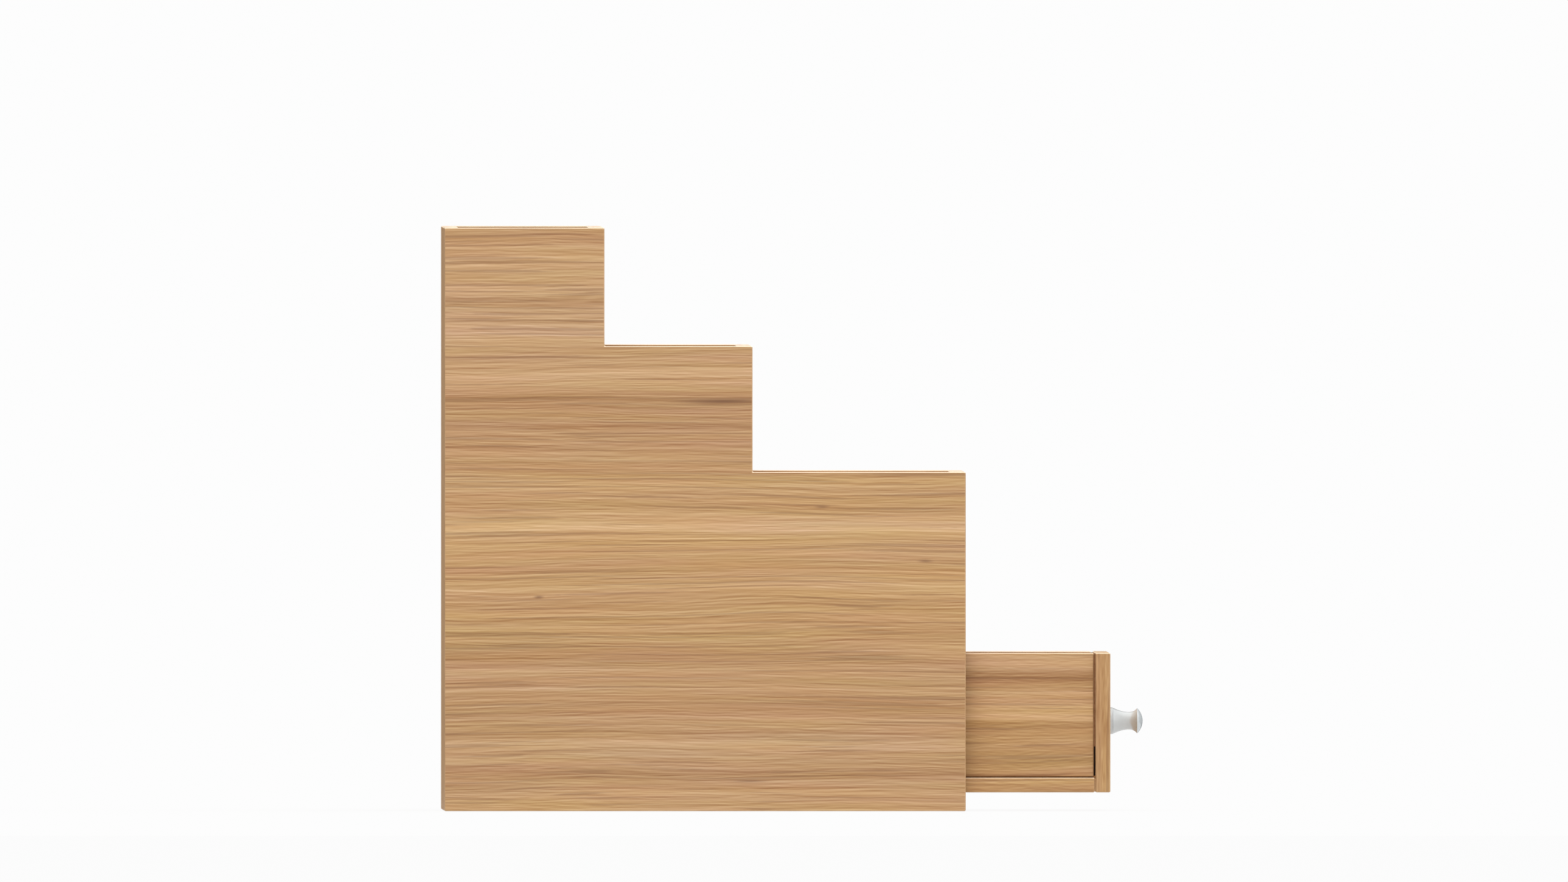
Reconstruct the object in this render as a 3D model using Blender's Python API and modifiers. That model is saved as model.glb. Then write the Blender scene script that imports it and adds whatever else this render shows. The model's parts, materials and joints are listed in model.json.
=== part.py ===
"""A three-tier stepped desk organiser of thin wood-grain boards, with one small drawer.

Metres throughout. +X points out of the drawer's front, +Y to the right as seen from the front,
and +Z up. The origin is the middle of the carcass's underside, on the table. The drawer is
modelled shut under an empty of its own, and that empty stands forward by DRAWER_OUT, which is
the drawer's rest position.
"""

import math

import bmesh
import bpy
from mathutils import Matrix, Vector

MM = 0.001

# Driving sizes
BOARD = 5.0 * MM
WIDTH = 150.0 * MM
DEPTH = 176.0 * MM
REAR_TIER = (54.0 * MM, 197.0 * MM)  # depth of the tier and height of its top
MIDDLE_TIER = (50.0 * MM, 157.0 * MM)
FRONT_TIER_TOP = 114.5 * MM
SHELF_UNDERSIDE = 54.4 * MM
DRAWER_UNDERSIDE = 6.3 * MM
DRAWER_TOP = 53.4 * MM
DRAWER_OUT = 48.9 * MM

# Clearances and small sizes
GAP = 0.3 * MM  # between boards that are glued face to face
EDGE = 0.4 * MM  # the small rounding of every board's edges
DIVIDER = 3.0 * MM
DIVIDER_DROP = 7.0 * MM  # from a tier's top down to its divider's top
GLIDE_WIDTH = 8.0 * MM
GLIDE_OFFSET = 55.0 * MM
GLIDE_ENDS = (-65.0 * MM, 80.0 * MM)
DRAWER_SIDE_PLAY = 2.0 * MM  # between the carcass's side and the drawer's front and bottom
DRAWER_SIDE_SETBACK = 1.5 * MM  # the drawer's sides stand in from its bottom's edges
DRAWER_REAR_PLAY = 0.8 * MM  # behind the shut drawer
DRAWER_FRONT_JOINT = 0.6 * MM  # the open line between a drawer side and the front
DRAWER_BACK_DROP = 3.4 * MM

# Dowels
DOWEL_RADIUS = 1.25 * MM
DOWEL_PLAY = 0.15 * MM
DOWEL_BLIND = 3.0 * MM  # how deep a dowel sits in the board whose face it enters
DOWEL_LENGTH = 8.0 * MM
DOWEL_SIDES = 12

# Knob, screw and washer, all on one axis
KNOB_HEIGHT = 30.2 * MM
KNOB_REACH = 11.4 * MM  # from the drawer's front to the top of the dome
KNOB_BASE = 1.4 * MM
KNOB_BASE_RADIUS = 4.4 * MM
KNOB_WAIST = (6.8 * MM, 2.95 * MM)  # distance from the drawer's front, and radius
KNOB_RIM = (9.6 * MM, 4.2 * MM)
KNOB_STEM_POWER = 1.85
KNOB_NECK_POWER = 2.5
FLANGE_SPAN = (0.2 * MM, 1.2 * MM)
FLANGE_RADIUS = 4.5 * MM
SCREW_HOLE_RADIUS = 1.8 * MM
SCREW_RADIUS = 1.5 * MM
SCREW_HEAD_RADIUS = 2.8 * MM
SCREW_HEAD_HEIGHT = 2.0 * MM
SCREW_LENGTH = 12.9 * MM
SCREW_SLOT = (3.2 * MM, 0.7 * MM, 1.1 * MM)  # length, breadth and depth of each arm of the cross
WASHER_RADIUS = 3.6 * MM
WASHER_THICKNESS = 0.5 * MM
WASHER_PLAY = 0.2 * MM
KNOB_HOLE_DEPTH = 6.0 * MM
TURNED_STEPS = 28

# Worked out from the sizes above
BACK_X = -DEPTH / 2
FRONT_X = DEPTH / 2
REAR_STEP_X = BACK_X + REAR_TIER[0]
MIDDLE_STEP_X = REAR_STEP_X + MIDDLE_TIER[0]
INNER_Y = WIDTH / 2 - BOARD  # inner face of a side panel
BETWEEN_SIDES = INNER_Y - GAP  # half width of a board that stands between the side panels
SHELF_TOP = SHELF_UNDERSIDE + BOARD
DRAWER_HALF_WIDTH = INNER_Y - DRAWER_SIDE_PLAY
DRAWER_SIDE_Y = DRAWER_HALF_WIDTH - DRAWER_SIDE_SETBACK
DRAWER_BACK_X = BACK_X + BOARD + DRAWER_REAR_PLAY
DRAWER_FLOOR = DRAWER_UNDERSIDE + BOARD
DRAWER_FRONT_BACK_X = FRONT_X - BOARD

WOOD = (0.56, 0.37, 0.20)
WOOD_PALE = (0.62, 0.43, 0.25)
BEECH = (0.66, 0.50, 0.32)
TAPE_GREY = (0.70, 0.69, 0.66)
NICKEL = (0.72, 0.72, 0.70)
ZINC = (0.60, 0.60, 0.58)


def clear_scene():
    """Removes whatever objects the file opened with."""
    for thing in list(bpy.data.objects):
        bpy.data.objects.remove(thing, do_unlink=True)


def new_collection(name):
    """Returns a new collection in the scene."""
    collection = bpy.data.collections.new(name)
    bpy.context.scene.collection.children.link(collection)
    return collection


def material(name, colour, roughness, metallic=0.0):
    """Returns a plain Principled material."""
    made = bpy.data.materials.new(name)
    made.use_nodes = True
    shader = made.node_tree.nodes["Principled BSDF"]
    shader.inputs["Base Color"].default_value = (*colour, 1.0)
    shader.inputs["Roughness"].default_value = roughness
    shader.inputs["Metallic"].default_value = metallic
    made.diffuse_color = (*colour, 1.0)
    return made


def add_object(name, data, collection, parent, location=(0, 0, 0)):
    """Links a new object under its parent empty, at a place in the parent's own space."""
    thing = bpy.data.objects.new(name, data)
    collection.objects.link(thing)
    thing.parent = parent
    thing.location = location
    return thing


def add_empty(name, location):
    """Returns an empty that a group of parts is parented to."""
    empty = add_object(name, None, parts, None, location)
    empty.empty_display_size = 20 * MM
    return empty


def round_edges(thing):
    """Breaks the sharp edges of a board."""
    bevel = thing.modifiers.new("edge", "BEVEL")
    bevel.width = EDGE
    bevel.segments = 1
    bevel.limit_method = "ANGLE"


def smooth_turned(mesh):
    """Shades a turned piece smooth, apart from its corners."""
    mesh.shade_smooth()
    mesh.set_sharp_from_angle(angle=math.radians(40))


def board(name, low, high, finish, parent):
    """Returns a board that fills the box between two corners, given in its parent's space."""
    low = Vector(low)
    high = Vector(high)
    shape = bmesh.new()
    bmesh.ops.create_cube(shape, size=1.0, matrix=Matrix.Diagonal((*(high - low), 1.0)))
    mesh = bpy.data.meshes.new(name)
    shape.to_mesh(mesh)
    shape.free()
    mesh.materials.append(finish)
    thing = add_object(name, mesh, parts, parent, (low + high) / 2)
    round_edges(thing)
    return thing


def side_panel(name, middle_y):
    """Returns a side panel, cut to the stair outline and standing in the XZ plane."""
    outline = (
        (BACK_X, 0.0),
        (FRONT_X, 0.0),
        (FRONT_X, FRONT_TIER_TOP),
        (MIDDLE_STEP_X, FRONT_TIER_TOP),
        (MIDDLE_STEP_X, MIDDLE_TIER[1]),
        (REAR_STEP_X, MIDDLE_TIER[1]),
        (REAR_STEP_X, REAR_TIER[1]),
        (BACK_X, REAR_TIER[1]),
    )
    curve = bpy.data.curves.new(name + "_outline", "CURVE")
    curve.dimensions = "2D"
    curve.fill_mode = "BOTH"
    curve.extrude = BOARD / 2
    spline = curve.splines.new("POLY")
    spline.points.add(len(outline) - 1)
    for point, (x, z) in zip(spline.points, outline):
        point.co = (x, z, 0.0, 1.0)
    spline.use_cyclic_u = True
    drawn = add_object(name + "_outline", curve, parts, carcass, (0, middle_y, 0))
    drawn.rotation_euler = (math.radians(90), 0, 0)
    bpy.context.view_layer.update()
    evaluated = drawn.evaluated_get(bpy.context.evaluated_depsgraph_get())
    mesh = bpy.data.meshes.new_from_object(evaluated)
    mesh.name = name
    shape = bmesh.new()
    shape.from_mesh(mesh)
    bmesh.ops.remove_doubles(shape, verts=shape.verts, dist=0.01 * MM)
    shape.to_mesh(mesh)
    shape.free()
    mesh.materials.clear()
    mesh.materials.append(wood)
    thing = add_object(name, mesh, parts, carcass, drawn.location)
    thing.rotation_euler = drawn.rotation_euler
    bpy.data.objects.remove(drawn, do_unlink=True)
    round_edges(thing)
    return thing


def cylinder_mesh(name, radius, length, sides, places):
    """Returns a mesh of one cylinder for each (centre, direction) in places."""
    shape = bmesh.new()
    for centre, direction in places:
        turn = Vector((0, 0, 1)).rotation_difference(Vector(direction)).to_matrix().to_4x4()
        bmesh.ops.create_cone(
            shape,
            cap_ends=True,
            segments=sides,
            radius1=radius,
            radius2=radius,
            depth=length,
            matrix=Matrix.Translation(centre) @ turn,
        )
    mesh = bpy.data.meshes.new(name)
    shape.to_mesh(mesh)
    shape.free()
    return mesh


def cut(thing, cutter_mesh, parent, location=(0, 0, 0)):
    """Cuts a cutter's shape out of a part."""
    cutter = add_object(cutter_mesh.name, cutter_mesh, cutters, parent, location)
    cutter.hide_render = True
    cutter.display_type = "WIRE"
    boolean = thing.modifiers.new("cut", "BOOLEAN")
    boolean.operation = "DIFFERENCE"
    boolean.object = cutter


def dowel_joint(label, face_board, end_board, mouths, inward, parent):
    """Joins end_board to the face of face_board with one dowel at each mouth.

    A mouth is the point where the dowel's axis crosses face_board's face, and inward is the
    unit direction from that face into face_board.
    """
    inward = Vector(inward)
    hole_radius = DOWEL_RADIUS + DOWEL_PLAY
    hole_length = DOWEL_LENGTH + 2 * GAP
    middles = [Vector(mouth) + inward * (DOWEL_BLIND - DOWEL_LENGTH / 2) for mouth in mouths]
    holes = [(middle, inward) for middle in middles]
    drill = cylinder_mesh(label + "_drill", hole_radius, hole_length, DOWEL_SIDES, holes)
    cut(face_board, drill, parent)
    cut(end_board, drill.copy(), parent)
    for number, middle in enumerate(middles, 1):
        pin = cylinder_mesh(
            f"{label}_{number}", DOWEL_RADIUS, DOWEL_LENGTH, DOWEL_SIDES, [((0, 0, 0), inward)]
        )
        smooth_turned(pin)
        pin.materials.append(dowel_wood)
        add_object(f"{label}_{number}", pin, parts, parent, middle)


def turned(name, profile, closed, finish, parent, location, turn):
    """Returns a profile of (radius, height) points turned about the object's own Z axis.

    An open profile starts and ends on the axis; a closed one goes round a ring's section. Both
    run down the outer side.
    """
    mesh = bpy.data.meshes.new(name)
    points = [(radius, 0.0, height) for radius, height in profile]
    edges = [(i, i + 1) for i in range(len(points) - 1)]
    if closed:
        edges.append((len(points) - 1, 0))
    mesh.from_pydata(points, edges, [])
    mesh.materials.append(finish)
    thing = add_object(name, mesh, parts, parent, location)
    thing.rotation_euler = turn
    screw = thing.modifiers.new("turn", "SCREW")
    screw.steps = TURNED_STEPS
    screw.render_steps = TURNED_STEPS
    screw.use_merge_vertices = True
    screw.merge_threshold = 0.00001
    screw.use_smooth_shade = True
    return thing


def ring_profile(inner, outer, bottom, top):
    """Returns the section of a flat ring."""
    return ((outer, top), (outer, bottom), (inner, bottom), (inner, top))


def knob_profile():
    """Returns the knob from the middle of its dome, round its rim and waist, to its blind hole."""
    rim_x, rim_radius = KNOB_RIM
    waist_x, waist_radius = KNOB_WAIST
    rise = KNOB_REACH - rim_x
    dome_radius = (rim_radius**2 + rise**2) / (2 * rise)
    dome_angle = math.asin(rim_radius / dome_radius)
    dome_steps = 5
    flare_steps = 5
    profile = [(0.0, KNOB_REACH)]
    for step in range(1, dome_steps + 1):
        angle = dome_angle * step / dome_steps
        radius = dome_radius * math.sin(angle)
        profile.append((radius, KNOB_REACH - dome_radius * (1 - math.cos(angle))))
    for step in range(1, flare_steps + 1):
        share = 1 - step / flare_steps
        radius = waist_radius + (rim_radius - waist_radius) * share**KNOB_NECK_POWER
        profile.append((radius, waist_x + (rim_x - waist_x) * share))
    for step in range(1, flare_steps + 1):
        share = step / flare_steps
        radius = waist_radius + (KNOB_BASE_RADIUS - waist_radius) * share**KNOB_STEM_POWER
        profile.append((radius, waist_x + (KNOB_BASE - waist_x) * share))
    profile.append((SCREW_HOLE_RADIUS, KNOB_BASE))
    profile.append((SCREW_HOLE_RADIUS, KNOB_BASE + KNOB_HOLE_DEPTH))
    profile.append((0.0, KNOB_BASE + KNOB_HOLE_DEPTH))
    return profile


def screw_profile():
    """Returns a pan-head machine screw with its head up and its seat at height zero."""
    shoulder = 0.7 * MM
    point = 0.4 * MM
    return (
        (0.0, SCREW_HEAD_HEIGHT),
        (SCREW_HEAD_RADIUS - shoulder, SCREW_HEAD_HEIGHT),
        (SCREW_HEAD_RADIUS, SCREW_HEAD_HEIGHT - shoulder),
        (SCREW_HEAD_RADIUS, 0.0),
        (SCREW_RADIUS, 0.0),
        (SCREW_RADIUS, point - SCREW_LENGTH),
        (SCREW_RADIUS - point, -SCREW_LENGTH),
        (0.0, -SCREW_LENGTH),
    )


def box_mesh(name, size):
    """Returns a plain box about its own middle."""
    shape = bmesh.new()
    bmesh.ops.create_cube(shape, size=1.0, matrix=Matrix.Diagonal((*size, 1.0)))
    mesh = bpy.data.meshes.new(name)
    shape.to_mesh(mesh)
    shape.free()
    return mesh


def build_carcass():
    """Makes the fixed boards: two side panels with everything that stands between them."""
    side_y = INNER_Y + BOARD / 2
    sides = {
        "left": (side_panel("side_panel_left", -side_y), -1),
        "right": (side_panel("side_panel_right", side_y), 1),
    }
    inside_back = BACK_X + BOARD + GAP
    standing = SHELF_TOP + GAP

    def between(name, x_low, x_high, z_low, z_high, finish=None):
        low = (x_low, -BETWEEN_SIDES, z_low)
        high = (x_high, BETWEEN_SIDES, z_high)
        return board(name, low, high, finish or wood, carcass)

    back = between("back_panel", BACK_X, BACK_X + BOARD, 0.0, REAR_TIER[1])
    base = between("base_panel", inside_back, FRONT_X, 0.0, BOARD)
    shelf = between("drawer_shelf", inside_back, FRONT_X - BOARD - GAP, SHELF_UNDERSIDE, SHELF_TOP)
    rear = between("rear_tier_front", REAR_STEP_X - BOARD, REAR_STEP_X, standing, REAR_TIER[1])
    middle = between(
        "middle_tier_front", MIDDLE_STEP_X - BOARD, MIDDLE_STEP_X, standing, MIDDLE_TIER[1]
    )
    front = between(
        "front_tier_front", FRONT_X - BOARD, FRONT_X, SHELF_UNDERSIDE, FRONT_TIER_TOP
    )

    half = BOARD / 2
    joints = {
        "dowel_back": (back, ((BACK_X + half, 30 * MM), (BACK_X + half, 170 * MM))),
        "dowel_base": (base, ((-55 * MM, half), (60 * MM, half))),
        "dowel_shelf": (
            shelf,
            ((-60 * MM, SHELF_UNDERSIDE + half), (60 * MM, SHELF_UNDERSIDE + half)),
        ),
        "dowel_rear": (rear, ((REAR_STEP_X - half, 85 * MM), (REAR_STEP_X - half, 180 * MM))),
        "dowel_middle": (
            middle,
            ((MIDDLE_STEP_X - half, 80 * MM), (MIDDLE_STEP_X - half, 140 * MM)),
        ),
        "dowel_front": (front, ((FRONT_X - half, 70 * MM), (FRONT_X - half, 103 * MM))),
    }
    for label, (end_board, places) in joints.items():
        for side, (panel, sign) in sides.items():
            mouths = [(x, sign * INNER_Y, z) for x, z in places]
            dowel_joint(f"{label}_{side}", panel, end_board, mouths, (0, sign, 0), carcass)

    for name, x_low, x_high, top in (
        ("middle_divider", REAR_STEP_X, MIDDLE_STEP_X - BOARD, MIDDLE_TIER[1]),
        ("front_divider", MIDDLE_STEP_X, FRONT_X - BOARD, FRONT_TIER_TOP),
    ):
        low = (x_low + GAP, -DIVIDER / 2, standing)
        high = (x_high - GAP, DIVIDER / 2, top - DIVIDER_DROP)
        board(name, low, high, wood_pale, carcass)

    for side, sign in (("left", -1), ("right", 1)):
        edges = sorted(
            (sign * (GLIDE_OFFSET - GLIDE_WIDTH / 2), sign * (GLIDE_OFFSET + GLIDE_WIDTH / 2))
        )
        low = (GLIDE_ENDS[0], edges[0], BOARD + GAP)
        high = (GLIDE_ENDS[1], edges[1], DRAWER_UNDERSIDE - GAP)
        strip = board(f"glide_strip_{side}", low, high, glide_tape, carcass)
        strip.modifiers["edge"].width = 0.1 * MM


def build_drawer():
    """Makes the drawer box, shut, in the space of its own empty."""
    width = DRAWER_HALF_WIDTH
    front = board(
        "drawer_front",
        (DRAWER_FRONT_BACK_X, -width, DRAWER_UNDERSIDE),
        (FRONT_X, width, DRAWER_TOP),
        wood,
        drawer,
    )
    bottom = board(
        "drawer_bottom",
        (DRAWER_BACK_X, -width, DRAWER_UNDERSIDE),
        (DRAWER_FRONT_BACK_X - GAP, width, DRAWER_FLOOR),
        wood,
        drawer,
    )
    back = board(
        "drawer_back",
        (DRAWER_BACK_X, -DRAWER_SIDE_Y + BOARD + GAP, DRAWER_FLOOR + GAP),
        (DRAWER_BACK_X + BOARD, DRAWER_SIDE_Y - BOARD - GAP, DRAWER_TOP - DRAWER_BACK_DROP),
        wood_pale,
        drawer,
    )
    half = BOARD / 2
    for side, sign in (("left", -1), ("right", 1)):
        edges = sorted((sign * DRAWER_SIDE_Y, sign * (DRAWER_SIDE_Y - BOARD)))
        panel = board(
            f"drawer_side_{side}",
            (DRAWER_BACK_X, edges[0], DRAWER_FLOOR + GAP),
            (DRAWER_FRONT_BACK_X - DRAWER_FRONT_JOINT, edges[1], DRAWER_TOP),
            wood,
            drawer,
        )
        middle_y = sign * (DRAWER_SIDE_Y - half)
        to_front = [(DRAWER_FRONT_BACK_X, middle_y, z) for z in (22 * MM, 43 * MM)]
        dowel_joint(f"dowel_drawer_front_{side}", front, panel, to_front, (1, 0, 0), drawer)
        inner_y = sign * (DRAWER_SIDE_Y - BOARD)
        to_side = [(DRAWER_BACK_X + half, inner_y, z) for z in (20 * MM, 42 * MM)]
        dowel_joint(f"dowel_drawer_back_{side}", panel, back, to_side, (0, sign, 0), drawer)
    to_bottom = [(DRAWER_FRONT_BACK_X, y, DRAWER_UNDERSIDE + half) for y in (-35 * MM, 35 * MM)]
    dowel_joint("dowel_drawer_bottom", front, bottom, to_bottom, (1, 0, 0), drawer)
    return front


def build_knob(front):
    """Makes the knob with its flange outside, and its screw and washer inside the drawer."""
    along_x = (0, math.radians(90), 0)
    against_x = (0, math.radians(-90), 0)
    face = (FRONT_X, 0, KNOB_HEIGHT)
    inside = (DRAWER_FRONT_BACK_X, 0, KNOB_HEIGHT)
    flange = ring_profile(SCREW_HOLE_RADIUS, FLANGE_RADIUS, *FLANGE_SPAN)
    turned("knob_flange", flange, True, nickel, drawer, face, along_x)
    turned("knob", knob_profile(), False, nickel, drawer, face, along_x)

    washer_low = WASHER_PLAY
    washer_high = WASHER_PLAY + WASHER_THICKNESS
    washer = ring_profile(SCREW_HOLE_RADIUS, WASHER_RADIUS, washer_low, washer_high)
    turned("knob_washer", washer, True, zinc, drawer, inside, against_x)
    seat_x = DRAWER_FRONT_BACK_X - washer_high - WASHER_PLAY
    seat = (seat_x, 0, KNOB_HEIGHT)
    screw = turned("knob_screw", screw_profile(), False, zinc, drawer, seat, against_x)
    head_top = (seat_x - SCREW_HEAD_HEIGHT, 0, KNOB_HEIGHT)
    length, breadth, depth = SCREW_SLOT
    for number, size in enumerate(((2 * depth, length, breadth), (2 * depth, breadth, length)), 1):
        cut(screw, box_mesh(f"knob_screw_slot_{number}", size), drawer, head_top)

    drill = cylinder_mesh(
        "knob_drill", SCREW_HOLE_RADIUS, 2 * BOARD, TURNED_STEPS, [((0, 0, 0), (1, 0, 0))]
    )
    cut(front, drill, drawer, (FRONT_X - BOARD / 2, 0, KNOB_HEIGHT))


clear_scene()
parts = new_collection("stepped_desk_organiser")
cutters = new_collection("cutters")
wood = material("wood_grain", WOOD, 0.5)
wood_pale = material("wood_grain_pale", WOOD_PALE, 0.55)
dowel_wood = material("beech_dowel", BEECH, 0.6)
glide_tape = material("glide_tape", TAPE_GREY, 0.35)
nickel = material("satin_nickel", NICKEL, 0.25, 1.0)
zinc = material("zinc_plate", ZINC, 0.4, 1.0)
carcass = add_empty("carcass", (0, 0, 0))
drawer = add_empty("drawer_slide", (DRAWER_OUT, 0, 0))
build_carcass()
build_knob(build_drawer())
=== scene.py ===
"""Looks of the stepped desk organiser: rounded laminate boards, a satin knob and a white studio.

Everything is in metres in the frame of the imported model: +X out of the drawer's front, +Z up.
"""

import itertools
import json
import math

import bmesh
import bpy
from mathutils import Matrix, Vector

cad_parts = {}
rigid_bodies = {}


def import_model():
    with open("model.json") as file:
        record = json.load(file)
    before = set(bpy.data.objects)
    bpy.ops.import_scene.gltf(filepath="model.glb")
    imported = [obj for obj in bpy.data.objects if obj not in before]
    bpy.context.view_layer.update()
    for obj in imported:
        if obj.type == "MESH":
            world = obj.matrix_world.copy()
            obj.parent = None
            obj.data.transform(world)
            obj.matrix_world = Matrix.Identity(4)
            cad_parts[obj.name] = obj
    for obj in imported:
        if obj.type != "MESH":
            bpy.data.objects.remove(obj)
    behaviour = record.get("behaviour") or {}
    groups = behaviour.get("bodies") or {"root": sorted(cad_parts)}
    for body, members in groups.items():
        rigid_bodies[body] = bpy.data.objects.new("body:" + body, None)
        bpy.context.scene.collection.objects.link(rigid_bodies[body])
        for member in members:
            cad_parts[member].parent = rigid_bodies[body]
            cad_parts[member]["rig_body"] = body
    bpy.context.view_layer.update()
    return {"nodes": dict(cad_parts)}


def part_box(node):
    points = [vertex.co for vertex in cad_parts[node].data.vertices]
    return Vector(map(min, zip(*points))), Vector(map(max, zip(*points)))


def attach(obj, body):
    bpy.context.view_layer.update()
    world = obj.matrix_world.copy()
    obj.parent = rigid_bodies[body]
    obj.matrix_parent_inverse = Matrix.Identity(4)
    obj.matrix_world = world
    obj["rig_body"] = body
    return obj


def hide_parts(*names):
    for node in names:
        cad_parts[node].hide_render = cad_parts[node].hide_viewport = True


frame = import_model()

MM = 0.001
AXES = "XYZ"

# The boards' rounded edges. A face less square to the axes than ARRIS_BELOW is part of one.
EDGE_RADIUS = 0.45 * MM
EDGE_SEGMENTS = 3
ARRIS_BELOW = 0.95

# The angle in degrees above which an edge of a board or a strip stays sharp
BOX_SHARP_ANGLE = 35

# Holes: the play around a dowel and at its ends, the knob's hole as a share of its screw's head,
# and how many board thicknesses its drill is long
DOWEL_PLAY = 0.15 * MM
DOWEL_END_PLAY = 0.3 * MM
DRILL_SIDES = 32
KNOB_HOLE_SHARE = 0.643
KNOB_DRILL_LENGTH = 4

# The low-friction strips' rounded edges
GLIDE_RADIUS = 0.12 * MM

# The knob's waist and rim and the depth and radius of its screw's hole, as shares of its reach
# forward of the drawer's front and of its base's radius
KNOB_WAIST = (0.59, 0.67)
KNOB_RIM = (0.842, 0.96)
SCREW_HOLE = (0.52, 0.41)

# How sharply the knob flares from its waist to its rim and to its base, its rim's thickness and
# edges, and in how many steps its curves are drawn
RIM_FLARE = 2.5
BASE_FLARE = 1.85
RIM_THICKNESS = 0.12 * MM
RIM_CHAMFER = 0.02 * MM
RIM_UNDERCUT = 0.12 * MM
DOME_STEPS = 14
FLARE_STEPS = 16

# The plate behind the knob: how far it stays clear of the drawer and the knob, and its soft edge
FLANGE_BACK_PLAY = 0.03 * MM
FLANGE_FRONT_PLAY = 0.06 * MM
FLANGE_SOFTNESS = 0.15 * MM
FLANGE_STEPS = 4

# Turned pieces: how many sides they have, the angle in degrees above which their edges stay
# sharp, and how near to each other two points become one
TURNED_SIDES = 96
TURNED_SHARP_ANGLE = 50
WELD_DISTANCE = 0.001 * MM

# The surroundings: brightness from the rear (-1) to the front (1), brightness below the floor, and
# the downward slopes between which the one turns into the other
WORLD_TONES = ((-1.0, 0.35), (-0.25, 0.97), (0.55, 0.97), (0.85, 1.35))
UNDER_FLOOR = 0.98
HORIZON = (-0.03, -0.01)

# The light from above: watts per square metre, and how wide its source looks in degrees
OVERHEAD_WATTS = 2.8
OVERHEAD_SPREAD = 60.0

# The floor: its own glow, how much light it returns, half its width and its drop below the base
FLOOR_GLOW = 0.927
FLOOR_ALBEDO = 0.03
FLOOR_REACH = 150.0
FLOOR_DROP = 0.02 * MM

# Black cards beyond the far side: name, board and its corner (rear 0, front 1) to measure from,
# rearmost and foremost edge, distance beyond the side, and height, all in millimetres
FLAGS = (
    ("front_flag", "drawer_front", 1, -20.0, 500.0, 30.0, 120.0),
    ("rear_flag", "back_panel", 0, -500.0, -4.0, 20.0, 400.0),
)
FLAG_THICKNESS = 2.0 * MM
FLAG_FOOT = -10.0 * MM
FLAG_BLACK = 0.02

# The camera: the aim as shares of the near side panel's depth and height, its direction in
# degrees, its field's width in panel depths, its distance and how far it sees
CAMERA_AIM = (0.6513, 0.6345)
CAMERA_AZIMUTH = -0.455
CAMERA_ELEVATION = 0.25
CAMERA_WIDTH = 3.0085
CAMERA_DISTANCE = 2.0
CAMERA_SIGHT = 400.0

# Grain direction on the wide faces of each board but the two that have their own bands
BOARDS = {
    "side_panel_right": "X",
    "back_panel": "Z",
    "base_panel": "X",
    "drawer_shelf": "X",
    "rear_tier_front": "Y",
    "middle_tier_front": "Y",
    "front_tier_front": "Y",
    "middle_divider": "X",
    "front_divider": "X",
    "drawer_front": "Y",
    "drawer_bottom": "X",
    "drawer_side_right": "X",
    "drawer_back": "Y",
}
ALL_BOARDS = ["side_panel_left", "drawer_side_left", *BOARDS]

# How far the film's print is moved along each axis from one board to the next
GRAIN_SHIFT = (0.37, 0.53, 0.71)

# The film's lacquer
LACQUER = {"IOR": 1.46, "Specular_IOR_Level": 0.25}

# The tones of the printed grain, dark to light, as (position, colour)
GRAIN_TONES = (
    (0.05, (0.312, 0.151, 0.0625)),
    (0.21, (0.392, 0.206, 0.090)),
    (0.50, (0.520, 0.309, 0.149)),
    (0.79, (0.643, 0.416, 0.226)),
    (0.95, (0.722, 0.488, 0.292)),
)

# Layers of streaks, wide to fine: length and width of a streak in millimetres, and weight
GRAIN_LAYERS = (
    (700.0, 25.0, 0.10),
    (500.0, 9.0, 0.19),
    (350.0, 4.5, 0.13),
    (250.0, 2.3, 0.19),
    (220.0, 1.0, 0.19),
    (60.0, 1.2, 0.10),
    (24.0, 0.70, 0.28),
    (9.0, 0.46, 0.38),
)

# A streak layer is a noise less itself moved across the grain by this share of a streak's width
STREAK_STEP = 0.8

# How streaks and single fibres wander: how far across the grain, and the noise's scale
GRAIN_WANDER = (8.0 * MM, (7.0, 26.0, 26.0))
FIBRE_WANDER = (0.14 * MM, (300.0, 200.0, 200.0))

# Drifts of hue: length and width in millimetres, and how far red, green and blue move
HUE_DRIFTS = (
    (600.0, 22.0, (0.03, 0.04, 0.18)),
    (50.0, 3.0, (0.06, 0.09, 0.22)),
)

# Fine dark lines: length and width in millimetres, the noise where they start and are full, how
# strong they are, and how deep against the grain's own relief
DARK_LINE = (150.0, 0.9)
DARK_LINE_SPAN = (0.60, 0.72)
DARK_LINE_SHARE = 0.35
DARK_LINE_DEPTH = 0.4

# The brown of dark lines, the streak and the small knots, and how far their edges fade out
MARK_COLOUR = (0.225, 0.112, 0.058, 1.0)
MARK_FADE = 1.4

# The film's roughness from dark to light grain, and what smudges take off and add
GRAIN_SPAN = (0.2, 0.8)
GRAIN_ROUGHNESS = (0.58, 0.48)
SMUDGE_SCALE = (30.0, 60.0, 60.0)
SMUDGE_DETAIL = 2.0
SMUDGE_ROUGHNESS = (-0.04, 0.05)
GRAIN_RELIEF = (0.35, 0.06 * MM)

# The drawer's film: shorter streaks, softer ones below a width in millimetres, a golden tint
DRAWER_STRETCH = 0.5
DRAWER_FINE = 0.8
FINE_BELOW = 2.0
DRAWER_TINT = (0.965, 0.935, 0.86)

# The film on the boards' edges: more contrast and less rough
BAND_CONTRAST = 1.1
BAND_GLOSS = 0.2

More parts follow.
